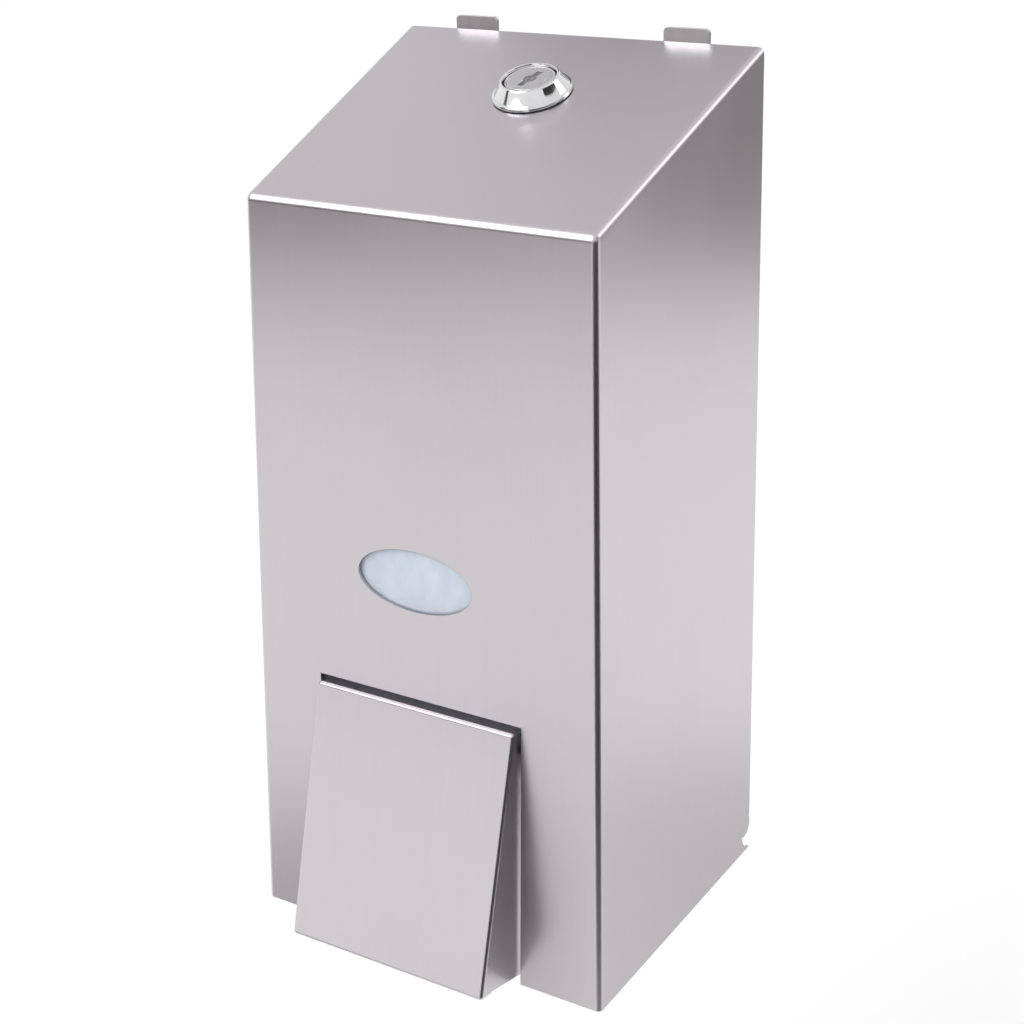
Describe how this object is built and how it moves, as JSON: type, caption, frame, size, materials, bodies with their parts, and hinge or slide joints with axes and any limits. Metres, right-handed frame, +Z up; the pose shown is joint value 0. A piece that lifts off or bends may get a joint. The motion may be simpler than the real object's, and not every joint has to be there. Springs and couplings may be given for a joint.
{
  "type": "wall mounted soap dispenser",
  "caption": "Wall mounted soap dispenser: tapered steel cover that tips open on low pins, cam lock in its sloped top, oval level window and a push plate working a piston pump.",
  "frame": {"origin": "on the wall face of the back plate, at its middle, 115 mm above the cover's lower front edge", "axes": "+Y into the wall, +Z up, +X to the right as seen by the user, so the front faces -Y"},
  "size_m": [0.1158, 0.1114, 0.2332],
  "materials": {
    "steel": "satin brushed stainless steel",
    "plated_steel": "zinc plated sheet steel",
    "chrome": "bright chrome",
    "lock_metal": "satin cast metal",
    "tank_plastic": "pale translucent moulded plastic",
    "white_plastic": "white moulded plastic",
    "rubber": "black rubber",
    "spring_steel": "bright spring steel"
  },
  "bodies": {
    "wall_unit": {"back_plate": "plated_steel", "shelf_rivet_left": "plated_steel", "shelf_rivet_right": "plated_steel", "catch_rivet_left": "plated_steel", "catch_rivet_right": "plated_steel", "ear_rivet_left": "plated_steel", "ear_rivet_right": "plated_steel", "hinge_ear_left": "plated_steel", "hinge_ear_right": "plated_steel", "hinge_pin_left": "plated_steel", "hinge_pin_right": "plated_steel", "lock_catch": "plated_steel", "tank_shelf": "plated_steel", "tank": "tank_plastic", "tank_grommet": "rubber", "pump_body": "white_plastic", "inlet_ball": "spring_steel", "outlet_ball": "spring_steel", "pump_end_cap": "white_plastic", "return_spring": "spring_steel", "outlet_tube": "white_plastic", "nozzle_tip": "rubber", "pump_strap": "plated_steel", "strap_screw_left": "plated_steel", "strap_screw_right": "plated_steel"},
    "cover": {"cover": "steel", "window_lens": "tank_plastic", "hinge_plate_left": "plated_steel", "hinge_plate_right": "plated_steel", "lock_body": "chrome", "lock_nut": "plated_steel", "lever_bracket_left": "plated_steel", "lever_bracket_right": "plated_steel", "rod_clip_left": "spring_steel", "rod_clip_right": "spring_steel", "lever_rod": "plated_steel"},
    "lock_plug": {"lock_plug": "lock_metal", "lock_cam": "plated_steel", "cam_screw": "plated_steel"},
    "push_plate": {"push_plate": "steel", "pusher_block": "white_plastic"},
    "filler_cap": {"filler_cap": "white_plastic", "cap_seal": "rubber"},
    "piston": {"pump_piston": "white_plastic", "piston_seal": "rubber", "pump_button": "white_plastic"}
  },
  "joints": [
    {"name": "cover_hinge", "type": "hinge", "parent": "wall_unit", "child": "cover", "pos_m": [0, -0.006, -0.1082], "axis": [1, 0, 0], "range_deg": [0, 80]},
    {"name": "push_plate_hinge", "type": "hinge", "parent": "cover", "child": "push_plate", "pos_m": [-0.001, -0.08711, -0.04775], "axis": [1, 0, 0], "range_deg": [0, 8], "stiffness_Nm_per_rad": 0.12, "springref_deg": -20.05},
    {"name": "lock_turn", "type": "hinge", "parent": "cover", "child": "lock_plug", "pos_m": [0.0023, -0.0352, 0.10419], "axis": [0, 0.3435, -0.9391], "range_deg": [0, 90]},
    {"name": "cap_turn", "type": "hinge", "parent": "wall_unit", "child": "filler_cap", "pos_m": [0, -0.042, 0.057], "axis": [0, 0, 1], "range_deg": [0, 90]},
    {"name": "piston_slide", "type": "slide", "parent": "wall_unit", "child": "piston", "axis": [0, 1, 0], "range_m": [0, 0.0047], "stiffness_N_per_m": 60, "springref_m": -0.006, "deforming": ["return_spring"]}
  ],
  "couplings": [
    {"joint": "piston_slide", "follows": "push_plate_hinge", "m_per_rad": 0.0331}
  ]
}
